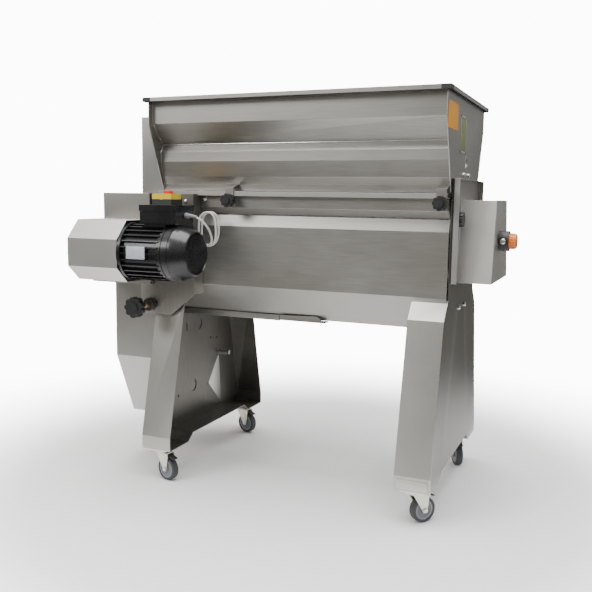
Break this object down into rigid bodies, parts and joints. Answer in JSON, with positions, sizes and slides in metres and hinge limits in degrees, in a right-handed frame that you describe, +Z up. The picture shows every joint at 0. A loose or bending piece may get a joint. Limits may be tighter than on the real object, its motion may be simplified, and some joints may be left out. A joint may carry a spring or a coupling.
{
  "type": "grape crusher destemmer",
  "caption": "Wheeled stainless grape destemmer with screw hopper, drum, crushing rollers, side motor and stem hood.",
  "frame": {"origin": "centre of the whole machine's plan, on the floor", "axes": "+X towards the stem outlet, +Y away from the motor side, +Z up"},
  "size_m": [1.372, 0.85, 1.3],
  "materials": {
    "brushed_sheet": "brushed",
    "frame_sheet": "brushed",
    "shaft_steel": "turned",
    "belt_rubber": "matt",
    "seal_rubber": "matt",
    "roller_rubber": "matt",
    "black_plastic": "matt",
    "motor_enamel": "gloss enamel",
    "motor_cover_enamel": "gloss",
    "switch_black": "satin",
    "switch_yellow": "satin",
    "stop_red": "satin",
    "orange_plastic": "gloss",
    "gland_grey": "satin",
    "cable_white": "satin",
    "brass": "machined",
    "zinc_plate": "passivated zinc",
    "bolt_steel": "bright",
    "caster_rubber": "matt",
    "caster_core": "satin",
    "stainless_screw": "satin"
  },
  "bodies": {
    "machine": {"left_end_frame": "frame_sheet", "right_end_frame": "frame_sheet", "upper_casing": "brushed_sheet", "lower_casing": "brushed_sheet", "hopper_sheets": "brushed_sheet", "hopper_end_plates": "frame_sheet", "hopper_rim": "brushed_sheet", "rim_corner_caps": "black_plastic", "feed_trough": "brushed_sheet", "bearing_units": "shaft_steel", "drive_belts": "belt_rubber", "guard_back_plate": "frame_sheet", "transmission_guard": "brushed_sheet", "motor_belt_cover": "brushed_sheet", "motor_bracket": "brushed_sheet", "motor_body": "motor_enamel", "motor_fan_cover": "motor_cover_enamel", "terminal_box": "motor_cover_enamel", "switch_body": "switch_black", "tension_boss": "black_plastic", "cable_glands": "gland_grey", "power_cable": "cable_white", "frame_bolts": "bolt_steel", "caster_plates": "zinc_plate"},
    "slide_gate": {"slide_gate": "brushed_sheet"},
    "clamp_knob_left": {"clamp_knob_left": "black_plastic"},
    "clamp_knob_right": {"clamp_knob_right": "black_plastic"},
    "end_cover": {"end_cover": "brushed_sheet", "end_seal": "seal_rubber", "stem_hood": "brushed_sheet", "button_housing": "black_plastic"},
    "end_cover_knob": {"end_cover_knob": "black_plastic"},
    "orange_button": {"orange_button": "orange_plastic"},
    "drum": {"destemming_drum": "stainless_screw"},
    "beater": {"beater": "stainless_screw"},
    "feed_screw": {"feed_screw": "stainless_screw"},
    "front_roller": {"front_crushing_roller": "roller_rubber"},
    "rear_roller": {"rear_crushing_roller": "roller_rubber"},
    "pump_shaft": {"pump_drive_shaft": "shaft_steel"},
    "motor_rotor": {"motor_rotor": "shaft_steel"},
    "switch_flap": {"switch_flap": "switch_yellow"},
    "stop_button": {"stop_button": "stop_red"},
    "tension_knob": {"tension_knob": "black_plastic", "brass_spindle": "brass"},
    "caster_fl": {"caster_fork_fl": "zinc_plate"},
    "wheel_fl": {"caster_hub_fl": "caster_core", "caster_tyre_fl": "caster_rubber"},
    "brake_fl": {"caster_brake_fl": "black_plastic"},
    "caster_fr": {"caster_fork_fr": "zinc_plate"},
    "wheel_fr": {"caster_hub_fr": "caster_core", "caster_tyre_fr": "caster_rubber"},
    "brake_fr": {"caster_brake_fr": "black_plastic"},
    "caster_rl": {"caster_fork_rl": "zinc_plate"},
    "wheel_rl": {"caster_hub_rl": "caster_core", "caster_tyre_rl": "caster_rubber"},
    "brake_rl": {"caster_brake_rl": "black_plastic"},
    "caster_rr": {"caster_fork_rr": "zinc_plate"},
    "wheel_rr": {"caster_hub_rr": "caster_core", "caster_tyre_rr": "caster_rubber"},
    "brake_rr": {"caster_brake_rr": "black_plastic"}
  },
  "joints": [
    {"name": "beater_spin", "type": "hinge", "parent": "machine", "child": "beater", "pos_m": [0.009, 0.0675, 0.83], "axis": [1, 0, 0], "continuous": true},
    {"name": "drum_spin", "type": "hinge", "parent": "machine", "child": "drum", "pos_m": [0.009, 0.0675, 0.83], "axis": [1, 0, 0], "continuous": true},
    {"name": "feed_spin", "type": "hinge", "parent": "machine", "child": "feed_screw", "pos_m": [0.009, 0.0675, 1.098], "axis": [1, 0, 0], "continuous": true},
    {"name": "front_roller_spin", "type": "hinge", "parent": "machine", "child": "front_roller", "pos_m": [0.009, 0.0225, 0.632], "axis": [1, 0, 0], "continuous": true},
    {"name": "rear_roller_spin", "type": "hinge", "parent": "machine", "child": "rear_roller", "pos_m": [0.009, 0.1125, 0.632], "axis": [1, 0, 0], "continuous": true},
    {"name": "pump_shaft_spin", "type": "hinge", "parent": "machine", "child": "pump_shaft", "pos_m": [0.009, 0.2475, 0.354], "axis": [1, 0, 0], "continuous": true},
    {"name": "motor_spin", "type": "hinge", "parent": "machine", "child": "motor_rotor", "pos_m": [0.009, -0.3325, 0.795], "axis": [1, 0, 0], "continuous": true},
    {"name": "gate_slide", "type": "slide", "parent": "machine", "child": "slide_gate", "axis": [1, 0, 0], "range_m": [0, 0.25]},
    {"name": "clamp_left_turn", "type": "hinge", "parent": "machine", "child": "clamp_knob_left", "pos_m": [-0.215, -0.1925, 0.965], "axis": [0, 1, 0], "continuous": true},
    {"name": "clamp_right_turn", "type": "hinge", "parent": "machine", "child": "clamp_knob_right", "pos_m": [0.491, -0.1925, 0.965], "axis": [0, 1, 0], "continuous": true},
    {"name": "end_cover_pull", "type": "slide", "parent": "machine", "child": "end_cover", "axis": [1, 0, 0], "range_m": [0, 0.25]},
    {"name": "end_cover_knob_turn", "type": "hinge", "parent": "end_cover", "child": "end_cover_knob", "pos_m": [0.529, -0.1085, 0.918], "axis": [1, 0, 0], "continuous": true},
    {"name": "orange_button_press", "type": "slide", "parent": "end_cover", "child": "orange_button", "axis": [-1, 0, 0], "range_m": [0, 0.005], "stiffness_N_per_m": 800, "springref_m": -0.002},
    {"name": "switch_flap_hinge", "type": "hinge", "parent": "machine", "child": "switch_flap", "pos_m": [-0.376, -0.2735, 0.972], "axis": [-1, 0, 0], "range_deg": [0, 80]},
    {"name": "stop_button_press", "type": "slide", "parent": "switch_flap", "child": "stop_button", "axis": [0, 0, -1], "range_m": [0, 0.004], "stiffness_N_per_m": 800, "springref_m": -0.002},
    {"name": "tension_knob_turn", "type": "hinge", "parent": "machine", "child": "tension_knob", "pos_m": [-0.503, -0.2925, 0.604], "axis": [0, 1, 0], "continuous": true},
    {"name": "caster_fl_swivel", "type": "hinge", "parent": "machine", "child": "caster_fl", "pos_m": [-0.44, -0.2475, 0.1], "axis": [0, 0, 1], "continuous": true},
    {"name": "wheel_fl_roll", "type": "hinge", "parent": "caster_fl", "child": "wheel_fl", "pos_m": [-0.41116, -0.25577, 0.04], "axis": [-0.2756, -0.9613, 0], "continuous": true},
    {"name": "brake_fl_press", "type": "hinge", "parent": "caster_fl", "child": "brake_fl", "pos_m": [-0.40347, -0.25797, 0.09], "axis": [0.2756, 0.9613, 0], "range_deg": [0, 12]},
    {"name": "caster_fr_swivel", "type": "hinge", "parent": "machine", "child": "caster_fr", "pos_m": [0.458, -0.2475, 0.1], "axis": [0, 0, 1], "continuous": true},
    {"name": "wheel_fr_roll", "type": "hinge", "parent": "caster_fr", "child": "wheel_fr", "pos_m": [0.47768, -0.22486, 0.04], "axis": [0.7547, -0.6561, 0], "continuous": true},
    {"name": "brake_fr_press", "type": "hinge", "parent": "caster_fr", "child": "brake_fr", "pos_m": [0.48293, -0.21882, 0.09], "axis": [-0.7547, 0.6561, 0], "range_deg": [0, 12]},
    {"name": "caster_rl_swivel", "type": "hinge", "parent": "machine", "child": "caster_rl", "pos_m": [-0.44, 0.3575, 0.1], "axis": [0, 0, 1], "continuous": true},
    {"name": "wheel_rl_roll", "type": "hinge", "parent": "caster_rl", "child": "wheel_rl", "pos_m": [-0.41116, 0.34923, 0.04], "axis": [-0.2756, -0.9613, 0], "continuous": true},
    {"name": "brake_rl_press", "type": "hinge", "parent": "caster_rl", "child": "brake_rl", "pos_m": [-0.40347, 0.34703, 0.09], "axis": [0.2756, 0.9613, 0], "range_deg": [0, 12]},
    {"name": "caster_rr_swivel", "type": "hinge", "parent": "machine", "child": "caster_rr", "pos_m": [0.458, 0.3575, 0.1], "axis": [0, 0, 1], "continuous": true},
    {"name": "wheel_rr_roll", "type": "hinge", "parent": "caster_rr", "child": "wheel_rr", "pos_m": [0.47208, 0.33101, 0.04], "axis": [-0.8829, -0.4695, 0], "continuous": true},
    {"name": "brake_rr_press", "type": "hinge", "parent": "caster_rr", "child": "brake_rr", "pos_m": [0.47584, 0.32395, 0.09], "axis": [0.8829, 0.4695, 0], "range_deg": [0, 12]}
  ],
  "couplings": [
    {"joint": "drum_spin", "follows": "beater_spin", "ratio": 0.125},
    {"joint": "feed_spin", "follows": "beater_spin", "ratio": 0.5},
    {"joint": "motor_spin", "follows": "beater_spin", "ratio": 2},
    {"joint": "front_roller_spin", "follows": "beater_spin", "ratio": 0.5},
    {"joint": "rear_roller_spin", "follows": "beater_spin", "ratio": -0.5},
    {"joint": "pump_shaft_spin", "follows": "beater_spin", "ratio": 0.5}
  ]
}
